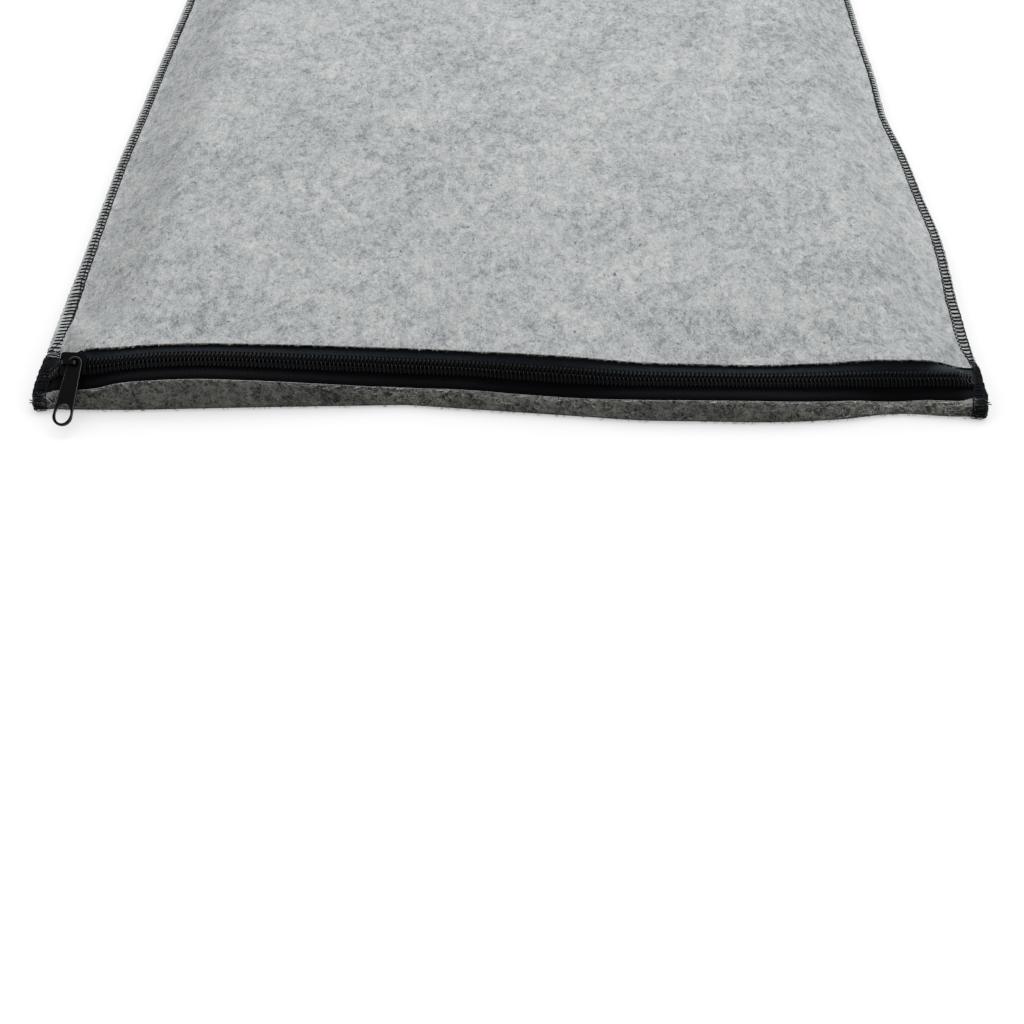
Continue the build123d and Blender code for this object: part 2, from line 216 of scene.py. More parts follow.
print("seam lengths", {side: round(steps[-1][0]) for side, steps in seam_walks.items()})

# %% [markdown]
# ## The band of the zip
# The zip's tapes span from the strip's edge up to the top panel's. `band_point` gives any point of
# that band: x along the zip, v up the slope from the middle of the chain, and n off its outer
# face. Near the corners the band turns into the seam, so the point is a mix of the two. Tapes,
# coils and threads all ask it for their places, which keeps them together on every wave.

# %% The band of the zip
chain_drop = 5.2  # from the band's upper edge down to the middle of the chain
foot_to_chain = 5.6  # from its lower edge up to the same line
felt_edge = 0.9  # how much of the felt's raw edge stands over the band
pressed_edge = 0.2  # how thin the needle has pressed that edge
band_seat = 0.45  # how far the band lies inside the felt
head_bend, foot_bend = 2.4, 4.4  # how far from the chain it starts to turn to its edges
strip_lean = 1.5  # how far the strip leans back
fold_set = -1.05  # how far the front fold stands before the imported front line
fold_on_seam = 0.8  # where the fold, the strip, the chain and the mouth cross a side seam
strip_on_seam = {-1: 4.6, 1: 5.7}
chain_on_seam = 12.1
mouth_on_seam = {-1: 20.3, 1: 20.4}


def corner_share(x):
    """0 where the mouth stands open, 1 in the seam."""
    return ease(140.9, 146.8, abs(x))


def mouth_share(x):
    """The same for the felt's edge, which starts to go down sooner than the chain."""
    return ease(131.0, 147.5, abs(x))


def along_seam(side, v):
    """Where the band's v comes to lie along a side seam."""
    if v > 0:
        return chain_on_seam + v * (mouth_on_seam[side] - chain_on_seam) / chain_drop
    return chain_on_seam + v * (chain_on_seam - strip_on_seam[side]) / foot_to_chain


def mouth(x):
    """(reach, height) of the top panel's raw edge."""
    return through(mouth_reach, x), through(mouth_height, x)


def fold_line(x):
    """The front fold's reach."""
    return fold_set + through(fold_reach, x)


def strip_top(x):
    """(reach, height) of the strip's raw edge."""
    return fold_line(x) + strip_lean, through(strip_height, x)


def open_band(x):
    """The head and foot of the band, the middle of the chain and the way up the slope."""
    edge = mouth(x)
    strip = strip_top(x)
    head = Vector((edge[0] + band_seat, edge[1] - felt_edge - band_seat))
    foot = Vector((strip[0] + felt_edge + band_seat, strip[1]))
    up = (head - foot).normalized()
    return head, foot, head - up * chain_drop, up


def band_point(x, v, n=0.0):
    """A point of the band, in metres."""
    _, foot, chain, up = open_band(x)
    stretch = (chain - foot).length / foot_to_chain if v < 0 else 1.0
    at = chain + up * v * stretch + Vector((-up.y, up.x)) * n
    at.x -= (felt_edge - pressed_edge) * ease(foot_bend, foot_to_chain, -v)
    share = corner_share(x)
    share += (mouth_share(x) - share) * ease(head_bend, chain_drop, v)
    if share > 0:
        side = side_of(x)
        at = Vector(blend(at, on_seam(side, along_seam(side, v), n), share))
    return laid(x, *at)


print("chain at the slider", band_point(-138.5, 0), "and at its far stop", band_point(137.5, 0))

# %% [markdown]
# ## Colours and nodes
# Hex colours are written as a paint chart gives them, in sRGB, and one function makes them linear.
# One more adds a node with its settings and links, so that each material below reads as a recipe.
# Most finishes start from a noise in the object's own space, so that its scale can be given in
# millimetres.


# %% Colours and nodes
def linear(code):
    """An sRGB hex colour as linear RGBA."""
    parts = [int(code[k:k + 2], 16) / 255 for k in (0, 2, 4)]
    return (*[p / 12.92 if p < 0.04045 else ((p + 0.055) / 1.055) ** 2.4 for p in parts], 1.0)


def add(tree, kind, inputs=(), stops=(), **settings):
    """A node: inputs are (node, socket or value; input), stops are (place, hex colour)."""
    made = tree.nodes.new("ShaderNode" + kind)
    for name, value in settings.items():
        if hasattr(made, name):
            setattr(made, name, value)
        else:
            made.inputs[name.replace("_", " ")].default_value = value
    for source, target in inputs:
        if isinstance(source, bpy.types.Node):
            source = source.outputs[0]
        if isinstance(source, bpy.types.NodeSocket):
            tree.links.new(source, made.inputs[target])
        else:
            made.inputs[target].default_value = source
    if stops:
        elements = made.color_ramp.elements
        elements.remove(elements[-1])
        elements[0].position, elements[0].color = stops[0][0], linear(stops[0][1])
        for at, code in stops[1:]:
            elements.new(at).color = linear(code)
    return made


def new_finish(name):
    """A new material and the empty tree of its nodes."""
    material = bpy.data.materials.new(name)
    material.use_nodes = True
    material.node_tree.nodes.clear()
    return material, material.node_tree


def mottle(tree, size_mm, detail=2.0, rough=0.6, stretch=(1, 1, 1), twist=0.0):
    """Noise whose features are about size_mm across."""
    here = add(tree, "TexCoord").outputs["Object"]
    mapping = add(tree, "Mapping", [(here, "Vector")], Scale=stretch)
    return add(tree, "TexNoise", [(mapping, "Vector")], Scale=1000 / size_mm, Detail=detail,
               Roughness=rough, Distortion=twist)


# %% [markdown]
# ## Grey needled felt
# Craft felt is needled from white and charcoal polyester fibres. Seen close it's a mat of short
# fibres, further off it mottles into soft clouds. So the colour is built in scales: fibres of half
# a millimetre, blotches of a few and clouds of a few centimetres, all close to one light grey,
# with rare dark specks. Real fibres are a fiftieth of a millimetre thick, too fine to show, so
# the grain is drawn as the tufts that they make. Felt has no gloss, only a faint sheen.

# %% Grey needled felt
felt_finish, tree = new_finish("grey_needled_felt")
lie = (1.0, 0.62, 1.0)  # fibres lie mostly along the sleeve, so the noise is longer that way
grain = mottle(tree, 0.45, 2.0, 0.7, lie, 0.8)
flecks = mottle(tree, 1.3, 2.0, 0.6, lie, 0.8)
blotches = mottle(tree, 4.2, 2.0, 0.55, lie, 0.6)
clouds = mottle(tree, 26.0, 2.0, 0.5)
specks = mottle(tree, 1.6, 1.0, 0.4, lie, 0.4)


def weigh(source, share, other):
    """other plus a share of source, which is taken about its middle."""
    centred = add(tree, "Math", [(source, 0), (0.5, 1)], operation="SUBTRACT")
    return add(tree, "Math", [(centred, 0), (share, 1), (other, 2)], operation="MULTIPLY_ADD")


def strands(size_mm, width, strength, other):
    """other plus long thin curls, which run where a noise passes its middle value."""
    field = mottle(tree, size_mm, 1.0, 0.5, lie, 1.6)
    off = add(tree, "Math", [(field, 0), (0.5, 1)], operation="SUBTRACT")
    away = add(tree, "Math", [(off, 0)], operation="ABSOLUTE")
    curl = add(tree, "MapRange", [(away, "Value")],
               From_Min=0.0, From_Max=width, To_Min=1.0, To_Max=0.0)
    return add(tree, "Math", [(curl, 0), (strength, 1), (other, 2)], operation="MULTIPLY_ADD")


tone = weigh(grain, 1.25, weigh(flecks, 1.1, weigh(blotches, 1.0, weigh(clouds, 0.5, 0.5))))
fibres = strands(3.1, 0.03, -0.13, strands(2.6, 0.035, 0.10, tone))
print("felt tone takes", len(tree.nodes), "nodes")

# %% [markdown]
# On upright faces near the front the felt takes a copy of its colour with far stronger contrast,
# which paints the light and shade that grazing light from above throws across its fibres; its
# relief is deeper there too. How level a face lies, and how far back it is, decide between the two.

# %% The felt's colour, with painted grazing light on upright faces
lying = add(tree, "ValToRGB", [(fibres, "Fac")], stops=[
    (0.05, "787C7F"), (0.28, "989C9E"), (0.46, "AAADAE"), (0.58, "B4B7B7"), (0.75, "BEC1C0"),
    (0.95, "CACCCB")])
# painted grazing light and shade: the same felt, with its fibres painted far paler and darker
upright_painted_grazing_light = add(tree, "ValToRGB", [(fibres, "Fac")], stops=[
    (0.12, "4E504C"), (0.34, "868882"), (0.50, "B5B7AF"), (0.64, "E4E5DC"), (0.80, "FBFBF4")])
here = add(tree, "TexCoord").outputs
facing = add(tree, "SeparateXYZ", [(here["Normal"], 0)])
level = add(tree, "Math", [(facing.outputs["Z"], 0)], operation="ABSOLUTE")
lies = add(tree, "MapRange", [(level, "Value")], From_Min=0.35, From_Max=0.85)
where = add(tree, "SeparateXYZ", [(here["Object"], 0)])
behind = add(tree, "MapRange", [(where.outputs["Y"], "Value")], From_Min=-0.198, From_Max=-0.190)
# level or far-back faces keep the felt's own colour; the rest take the painted grazing light
calm = add(tree, "Math", [(lies, 0), (behind, 1)], operation="MAXIMUM")
grey = add(tree, "Mix", data_type="RGBA", inputs=[(calm, "Factor"), (upright_painted_grazing_light, "A"), (lying, "B")])
speck_share = add(tree, "ValToRGB", [(specks, "Fac")], stops=[(0.72, "000000"), (0.80, "FFFFFF")])
specked = add(tree, "Mix", data_type="RGBA", inputs=[
    (speck_share, "Factor"), (grey.outputs["Result"], "A"), (linear("6C7174"), "B")])
depth = add(tree, "MapRange", [(calm, "Value")], To_Min=0.0014, To_Max=0.0004)
relief = add(tree, "Bump", [(fibres, "Height"), (depth, "Distance")], Strength=0.9)
shader = add(tree, "BsdfPrincipled", [(specked.outputs["Result"], "Base Color"),
                                      (relief, "Normal")],
             Roughness=0.95, Specular_IOR_Level=0.1, Sheen_Weight=0.08, Sheen_Roughness=0.6)
add(tree, "OutputMaterial", [(shader, "Surface")])
print("felt finish has", len(tree.nodes), "nodes")

# %% [markdown]
# The loose fibres that stand off the felt are polyester staple, white and pale grey. They are a
# little brighter than the mat, because light gets all round them.

# %% Loose fibre
fibre_finish, tree = new_finish("pale_polyester_fibre")
fibre_tone = add(tree, "ValToRGB", [(mottle(tree, 3.0, 1.0, 0.5), "Fac")],
                 stops=[(0.4, "B4B5AE"), (0.6, "F0F0E8")])
shader = add(tree, "BsdfPrincipled", [(fibre_tone, "Base Color")],
             Roughness=0.8, Specular_IOR_Level=0.2)
add(tree, "OutputMaterial", [(shader, "Surface")])
print("fibre finish is", fibre_finish.name)

# %% [markdown]
# ## Black trimmings
# The rest is black but each black is its own: polyester tape woven in fine ribs, nylon filament
# with a satin gloss, matt sewing thread, and the enamel on the zinc slider, which is smooth and
# has a thin line of highlight painted along every edge. The upper tape is painted paler than the
# lower one, as the side that faces the light.


# %% Black trimmings
def black_finish(name, tones, size_mm, rough, level, bump, dent_mm, stretch=(1, 1, 1)):
    """A black whose tone, gloss and relief vary at size_mm, with its tree and its shader."""
    made, tree = new_finish(name)
    grain = mottle(tree, size_mm, stretch=stretch)
    gloss = add(tree, "MapRange", [(grain, "Value")], To_Min=rough - 0.08, To_Max=rough + 0.08)
    dents = add(tree, "Bump", [(grain, "Height")], Strength=bump, Distance=dent_mm * MM)
    shader = add(tree, "BsdfPrincipled", [(gloss, "Roughness"), (dents, "Normal")],
                 Specular_IOR_Level=level)
    if tones:
        tone = add(tree, "ValToRGB", [(grain, "Fac")], stops=[(0.3, tones[0]), (0.7, tones[1])])
        tree.links.new(tone.outputs[0], shader.inputs["Base Color"])
    add(tree, "OutputMaterial", [(shader, "Surface")])
    return made, tree, shader


# the weave's ribs run along the zip, and are drawn a little coarser than real so that they show
woven = {"size_mm": 0.5, "rough": 0.85, "level": 0.05, "bump": 0.5, "dent_mm": 0.08,
         "stretch": (0.4, 2.0, 2.0)}
# the upper tape is the same black tape, painted paler for the light that falls on its upward face
upper_tape_painted_lit_finish = black_finish("black_woven_polyester_painted_lit", ("212629", "33393F"), **woven)[0]
lower_tape_finish = black_finish("black_woven_polyester", ("0D0D0F", "18191C"), **woven)[0]
nylon_finish = black_finish("black_nylon_monofilament", ("020203", "050506"),
                            size_mm=2.0, rough=0.26, level=0.1, bump=0.1, dent_mm=0.02)[0]
thread_finish = black_finish("black_spun_polyester_thread", ("08090C", "15181D"),
                             size_mm=0.3, rough=0.75, level=0.1, bump=0.6, dent_mm=0.05)[0]
print("black finishes, the last being", thread_finish.name)

# %% [markdown]
# Edges are what the light catches first, and on parts this small that line is painted: the enamel
# is painted pale by how far a face has turned from the part's broad side to its narrow ones, as a
# highlight along every edge.


# %% Black enamel
def enamel(name, axis, pale):
    """Black enamel, with a highlight painted on the rounded edges between faces along axis and
    across it.
    """
    made, tree, shader = black_finish(name, None, size_mm=3.0, rough=0.3, level=0.06,
                                      bump=0.05, dent_mm=0.02)
    outward = add(tree, "TexCoord").outputs["Normal"]
    tilt = add(tree, "VectorMath", [(outward, 0), (axis, 1)], operation="DOT_PRODUCT")
    tilt_size = add(tree, "Math", [(tilt.outputs["Value"], 0)], operation="ABSOLUTE")
    # painted highlight: the colour turns pale where a face turns between the axis and across it
    edge = add(tree, "ValToRGB", [(tilt_size, "Fac")], stops=[
        (0.30, "000000"), (0.50, "FFFFFF"), (0.90, "FFFFFF"), (0.97, "000000")])
    tone = add(tree, "Mix", data_type="RGBA", inputs=[
        (edge, "Factor"), (linear("070708"), "A"), (linear(pale), "B")])
    tree.links.new(tone.outputs["Result"], shader.inputs["Base Color"])
    return made


slider_x = -136
pull_lean = math.radians(36)
slider_slope = (band_point(slider_x, 0, 1) - band_point(slider_x, 0)).normalized()
pull_slope = Vector((0, -math.sin(pull_lean), math.cos(pull_lean)))
# the pale colours are painted edge highlights, brighter on the pull
slider_finish = enamel("black_enamel_on_zinc_slider_painted_highlight", slider_slope, "3C3C3E")
pull_finish = enamel("black_enamel_on_zinc_pull_painted_highlight", pull_slope, "737376")
print("enamels:", slider_finish.name, pull_finish.name)

# %% [markdown]
# ## From a mesh to a piece
# A finished piece is an object at the origin with its place in its mesh. All that are made here
# ride on the sleeve, and each names its material slot and stands for the plain solids that it
# replaces. Cloth starts as a flat grid, and thread as a curve with a round section, the cheapest
# way to a long thin tube.


# %% From a mesh to a piece
def into_scene(name, data):
    """A new object in the scene."""
    made = bpy.data.objects.new(name, data)
    bpy.context.scene.collection.objects.link(made)
    return made


def piece(name, data, finish, stands_for=()):
    """A new object from mesh or curve data, ready for the model."""
    made = into_scene(name, data)
    data.materials.append(finish)
    if made.type == "MESH":
        for face in data.polygons:
            face.use_smooth = True
    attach(made, "sleeve")
    if stands_for:
        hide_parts(*stands_for)
    return made


def laid_grid(columns, rows, spot_of):
    """A flat grid made by bmesh, with each corner then laid where spot_of(column, row) says."""
    cloth = bmesh.new()
    bmesh.ops.create_grid(cloth, x_segments=columns, y_segments=rows, size=1.0)
    for corner in cloth.verts:
        column = round((corner.co.x + 1) / 2 * columns)
        row = round((corner.co.y + 1) / 2 * rows)
        corner.co = spot_of(column, row)
    bmesh.ops.recalc_face_normals(cloth, faces=cloth.faces)
    return cloth


def to_mesh(cloth, name):
    """The mesh data of a bmesh, which is done with."""
    data = bpy.data.meshes.new(name)
    cloth.to_mesh(data)
    cloth.free()
    return data


def thread(name, runs, radius_mm, finish=thread_finish, stands_for=(),
           roundness=1):
    """A round thread on the sleeve along each run of points, as one curve."""
    data = bpy.data.curves.new(name, "CURVE")
    data.dimensions = "3D"
    data.bevel_depth = radius_mm * MM
    data.bevel_resolution = roundness
    data.resolution_u = 1
    data.use_fill_caps = True
    for run in runs:
        spline = data.splines.new("NURBS")
        spline.points.add(len(run) - 1)
        for point, at in zip(spline.points, run):
            point.co = (*at, 1.0)
        spline.order_u = 3
        spline.use_endpoint_u = True
    return piece(name, data, finish, stands_for)


def give_thickness(sheet, thickness_mm):
    """Thickness on both sides of a sheet, by a modifier."""
    wall = sheet.modifiers.new("thickness", "SOLIDIFY")
    wall.thickness = thickness_mm * MM
    wall.offset = 0.0
    return wall


# %% [markdown]
# ## The felt body
# The real sleeve starts as a flat blank, so the mesh does too: a grid is cut with more columns
# near the seams and more rows near the folds, then each corner of it is laid where the folded
# blank has it. Thickness comes last, so that both faces of the felt follow.

# %% Where the blank's columns and rows go
column_marks = [0, 60, 100, 118, 128, 136, 140, 143, 145.4, 146.4, 148.2, 149.6, 150]
column_counts = [20, 14, 7, 5, 5, 4, 3, 3, 1, 2, 2, 1]
half_columns = [0.0]
for start, end, count in zip(column_marks, column_marks[1:], column_counts):
    half_columns += [start + (end - start) * (k + 1) / count for k in range(count)]
columns = [-x for x in half_columns[:0:-1]] + half_columns

floor_reaches = [2.5, 4, 6, 9, 13, 18, 25, 34, 45] + [60 + 17.5 * k for k in range(19)]
panel_behind = [0, 0.5, 1.2, 2.2, 3.4, 5, 7, 9.2, 11.6, 14.2, 17, 20] + [
    20 + 3.6 * k for k in range(1, 102)]
rows = (
    [("strip", k / 9) for k in range(9)]
    + [("fold", k / 5) for k in range(5)]
    + [("floor", reach) for reach in floor_reaches]
    + [("far", k / 12) for k in range(12)]
    + [("panel", behind) for behind in reversed(panel_behind)]
)
print("blank has", len(columns), "by", len(rows), "corners")

# %% [markdown]
# ## The lie of the top panel
# Felt of this weight lies level over the laptop's place and falls in a soft shoulder to the seam
# at each side. A flat panel would look like a board, so a noise makes it a little uneven and
# ripples stand beside the gathered seams, all a few tenths of a millimetre high.

# %% The lie of the top panel
panel_height = 17.1
shoulder_from = 115.0
shoulder_depth = 30.0


def side_fall(x):
    """How far the top panel has fallen towards its seam: 0 in the middle, 1 on the needle line."""
    t = min(1.0, max(0.0, (abs(x) - shoulder_from) / (seam_x - shoulder_from)))
    return 0.25 * t**2.4 + 0.75 * ease(0, 1, t)


def undulation(x, reach):
    """Soft unevenness of the top panel, in millimetres."""
    calm = 1 - ease(120, 146, abs(x))
    wide = noise.noise(Vector((x / 70, reach / 80, 3.1)))
    fine = noise.noise(Vector((x / 24, reach / 30, 7.7)))
    return calm * (0.55 * wide + 0.22 * fine)


def puckers(x, reach):
    """The seams gather the felt beside them into low ripples, each side in its own rhythm."""
    length, height = (8.3, 0.55) if side_of(x) > 0 else (10.4, 0.3)
    near = ease(104, 138, abs(x)) * (1 - ease(140, 146, abs(x)))
    return near * height * math.sin(reach / length + 1.3 * math.sin(reach / 23))


def open_end(x, reach):
    """1 at the mouth's edge, 0 where the shoulder behind it has gone down to the seam."""
    return 1 - ease(0, shoulder_depth, reach - mouth(x)[0])


def panel_top(x, reach):
    """Outer height of the top panel."""
    edge_reach, edge_height = mouth(x)
    behind = ease(0, 42, reach - edge_reach)
    level = edge_height + (panel_height - edge_height) * behind
    far = ease(sleeve_length - 50, sleeve_length - 6, reach)
    level += (undulation(x, reach) + puckers(x, reach)) * behind * (1 - far)
    seam = on_seam(side_of(x), reach + 3.0)[1] + felt
    return level + (seam - level) * side_fall(x) * (1 - open_end(x, reach))


print("the panel stands", round(panel_top(0, 200), 1), "mm high in its middle")

# %% [markdown]
# ## Where the blank goes
# The blank runs down the upright strip, round the front fold, back along the table, round the far
# fold and forward over the top panel to the mouth. `blank_spot` follows it: each part has its own
# rule in the open sleeve and its own place in the side seam, and near a seam the two are mixed.

# %% Where the blank goes
front_radius = 1.9
far_fold_depth = 7.0
edge_roll = 0.12
straight_behind = 60  # the front's waves have died out this far back
seam_takes = 1.7  # how much of the reach the seam takes up in its curl


def felt_thickness(part, at):
    """Felt is squeezed thin where the zip is sewn to its raw edges."""
    squeezed_to = {"strip": 0.5, "panel": 5.0}.get(part)
    if squeezed_to is None:
        return felt
    return pressed_edge + (felt - pressed_edge) * ease(0, squeezed_to, at)


def blank_spot(x, part, at):
    """(reach, height) of the middle of the felt's thickness in the folded blank."""
    share = corner_share(x)
    side = side_of(x)
    fold = fold_line(x)
    lift = ease(137, 147, abs(x))
    if part == "strip":
        top = strip_top(x)
        level = top[1] + (front_radius - top[1]) * at
        inset = felt_thickness(part, at) / 2
        opened = (fold + strip_lean * (1 - at) + inset, level)
        caught = on_seam(side, strip_on_seam[side] * (1 - at) + fold_on_seam * at, felt / 2)
        return blend(opened, caught, share)
    if part == "fold":
        turn = math.radians(180 + 90 * at)
        radius = front_radius - felt / 2
        opened = (fold + front_radius + radius * math.cos(turn),
                  front_radius + radius * math.sin(turn))
        caught = on_seam(side, fold_on_seam * (1 - at), felt / 2 * (1 - 2 * at))
        return blend(opened, caught, share)
    if part == "floor":
        opened = (fold * (1 - ease(0, straight_behind, at)) + at, felt / 2)
        caught = on_seam(side, at - seam_takes, -felt / 2)
        drawn = 1 - ease(20, straight_behind, at)
        caught = (opened[0] + (caught[0] - opened[0]) * drawn, caught[1])
        return blend(opened, caught, max(share, lift))
    if part == "far":
        far_top = panel_top(x, sleeve_length - 12) - felt / 2
        low = felt / 2 + (on_seam(side, sleeve_length - 30)[1] - felt) * lift
        turn = math.radians(-90 + 180 * at)
        radius = (far_top - low) / 2
        depth = min(radius, far_fold_depth)
        return (sleeve_length - felt / 2 - depth + depth * math.cos(turn),
                low + radius + radius * math.sin(turn))
    reach = mouth(x)[0] + at
    rolled = edge_roll * (1 - ease(0, 1.0, at))
    opened = (reach, panel_top(x, reach) - felt_thickness(part, at) / 2 - rolled)
    caught = on_seam(side, mouth_on_seam[side] + at, felt / 2)
    caught = (caught[0] + (reach - caught[0]) * ease(15, straight_behind, at), caught[1])
    share += (mouth_share(x) - share) * open_end(x, reach)
    return blend(opened, caught, share)


print("the felt's edge is", felt_thickness("panel", 0), "mm thick")

# %% [markdown]
# ## Laying the blank
# Each corner of the grid is put where its row and column belong, a few hundredths of a millimetre
# up, since the faces of a curl bulge a little lower than their corners. The laid mesh's area tells
# how long the flat blank is.

# %% Laying the blank
floor_gap = 0.04


def laid_corner(column, row):
    x = columns[column]
    reach, height = blank_spot(x, *rows[row])
    return laid(x, reach, height + floor_gap)


felt_cloth = laid_grid(len(columns) - 1, len(rows) - 1, laid_corner)
for cut in felt_cloth.edges:
    cut.smooth = not cut.is_boundary
flat_area = sum(face.calc_area() for face in felt_cloth.faces)
felt_data = to_mesh(felt_cloth, "felt_body_visual")
felt_piece = piece("felt_sleeve", felt_data, felt_finish, ["felt_body"])

# %% [markdown]
# A solidify modifier gives the sheet its two faces. The raw edges at the mouth and on the strip
# are squeezed thin by the zip's seam, which a weight on each corner tells the modifier.

# %% The felt's thickness
squeeze = felt_piece.vertex_groups.new(name="thickness")
for row, (part, at) in enumerate(rows):
    whole_row = list(range(row * len(columns), (row + 1) * len(columns)))
    squeeze.add(whole_row, felt_thickness(part, at) / felt, "REPLACE")
wall = give_thickness(felt_piece, felt)
wall.use_even_offset = True
wall.vertex_group = squeeze.name
print("felt triangles", 2 * 2 * len(felt_data.polygons))

# %% [markdown]
# ## The zip's tapes
# Each tape is a woven ribbon. One edge carries the coil, the other is sewn under the felt. The
# upper one turns in level under the top panel, the lower one turns down behind the strip. A grid
# with one row for each bend is enough, and the same modifier gives it half a millimetre.

# %% The zip's tapes
tape_length = 298.8
tape_thickness = 0.5
tape_gap = 0.25  # behind the strip
tape_foot = 2.2  # the lower tape turns level at this height
tape_columns = [-tape_length / 2 + tape_length * k / 260 for k in range(261)]
upper_marks = [0.45, 1.2, 2.2, 3.2, 4.2, 5.2, 7.0, 9.0, 12.2]
lower_marks = [-0.45, -1.2, -2.2, -3.2, -4.2, -5.6, -7.0, -8.4, -9.6, -10.8]


def under_panel(x, hidden):
    """Where the upper tape lies, that far past the band's head."""
    head = open_band(x)[0]
    reach = head.x + hidden
    return reach, min(panel_top(x, reach) - felt - band_seat, head.y + 0.3 * hidden)


def behind_strip(x, hidden):
    """Where the lower tape lies, that far past the band's foot."""
    foot = open_band(x)[1]
    down = min(hidden, foot.y - tape_foot)
    return foot.x + tape_gap + hidden - down, foot.y - down


for name, marks, edge, past_edge, share_of, tape_finish in (
    ("upper_zip_tape", upper_marks, chain_drop, under_panel, mouth_share, upper_tape_painted_lit_finish),
    ("lower_zip_tape", lower_marks, foot_to_chain, behind_strip, corner_share, lower_tape_finish),
):
    def tape_corner(column, row):
        x, v = tape_columns[column], marks[row]
        if abs(v) <= edge or corner_share(x) == 1:
            return band_point(x, v)
        side = side_of(x)
        caught = on_seam(side, along_seam(side, v))
        return laid(x, *blend(past_edge(x, abs(v) - edge), caught, share_of(x)))

    ribbon = laid_grid(len(tape_columns) - 1, len(marks) - 1, tape_corner)
    tape_width = sum(face.calc_area() for face in ribbon.faces) / (tape_length * MM)
    tape = piece(name + "_woven", to_mesh(ribbon, name), tape_finish, [name])
    give_thickness(tape, tape_thickness)
    print(name, "is", round(tape_width * 1000, 1), "mm wide")

# %% [markdown]
# ## The coils
# Each side of the zip is one nylon filament wound round a cord and sewn to its tape. A turn goes
# up over the cord to a head in the middle, where it hooks between two heads of the other coil,
# and comes back underneath. The path of one turn is a handful of points, repeated at the coil's
# pitch, and the curve rounds them as nylon does.

# %% The coils
coil_pitch = 1.3
filament_radius = 0.3
coil_end = 147.0
turns = int(2 * coil_end / coil_pitch)
turn_paths = {  # for each point: the share of a pitch, v away from the middle, n off the band
    "upper_coil": [(0.00, -0.40, 1.30), (0.06, 0.25, 1.80), (0.32, 1.25, 1.68), (0.66, 2.15, 1.25),
                   (0.86, 2.62, 0.85), (0.92, 2.0, 0.62), (0.96, 0.9, 0.62), (0.99, -0.15, 0.8)],
    "lower_coil": [(0.00, -0.40, 1.25), (0.08, 0.2, 1.74), (0.26, 1.2, 1.66), (0.24, 2.2, 1.3),
                   (0.20, 2.8, 0.85), (0.45, 2.0, 0.62), (0.75, 0.9, 0.62), (0.95, -0.15, 0.8)],
}
for name, side, shift in (("upper_coil", 1, 0.0), ("lower_coil", -1, 0.5)):
    path = [band_point(-coil_end + (turn + shift + along) * coil_pitch, side * v, n)
            for turn in range(turns) for along, v, n in turn_paths[name]]
    thread(name + "_filament", [path], filament_radius, nylon_finish, [name])
print("turns in each coil", turns)

# %% [markdown]
# Inside each coil runs its cord, and a line of chain stitches holds the coil to the tape. The
# stitches show as small bumps between the turns.

# %% Cords and stitching of the coils
cord_radius = 0.24
coil_stitch_radius = 0.1
for name, side, first in (("upper_coil", 1, 0.25), ("lower_coil", -1, 0.75)):
    cord_run = [band_point(-coil_end + 2 * coil_end * k / 300, side * 1.25, 1.05)
                for k in range(301)]
    thread(name + "_core", [cord_run], cord_radius,
           stands_for=[name + "_cord"])
    stitch_run = []
    for turn in range(turns):
        x = -coil_end + (turn + first) * coil_pitch
        stitch_run += [band_point(x - 0.35, side * 1.75, 1.0),
                       band_point(x, side * 1.8, 1.78),
                       band_point(x + 0.3, side * 1.85, 1.5)]
    thread(name + "_chain_stitch", [stitch_run], coil_stitch_radius,
           stands_for=[name + "_stitching"])
print("each coil has its cord and", turns, "stitches")

# %% [markdown]
# ## The seams that hold the tapes
# A line of thread inside the sleeve sews each tape to the felt. It can't be seen on a closed
# sleeve, but it's one of its parts, so it's laid as a plain run on the felt's inner face.

# %% The seams that hold the tapes under the felt
seam_end = 142.0
seam_thread_radius = 0.125
seam_depth = 0.3  # under the felt's inner face
for name, part, at in (("upper_zip_seam_thread", "panel", 3.3),
                       ("lower_zip_seam_thread", "strip", 0.25)):
    run = []
    for k in range(261):
        x = -seam_end + 2 * seam_end * k / 260
        reach, height = blank_spot(x, part, at)
        inward = felt_thickness(part, at) / 2 + seam_depth
        if part == "panel":
            height -= inward
        else:
            reach += inward
        run.append(laid(x, reach, height))
    thread(name + "_run", [run], seam_thread_radius, stands_for=[name])
print("tape seams run", 2 * seam_end, "mm")

# %% [markdown]
# ## The overlock
# Three threads bind each side. The needle thread runs in a line of stitches along the seam. Two
# loopers knot into each other in a dark line, one from the needle line and one from round the raw
# edge, which gives a ladder of black rungs with felt between. The seam is rolled a little
# differently on each side, so the knots lie nearer the needle on one and nearer the edge on the
# other. Stitches crowd over the ends of the zip, and each strays a little, because a hand-fed seam
# is never even.

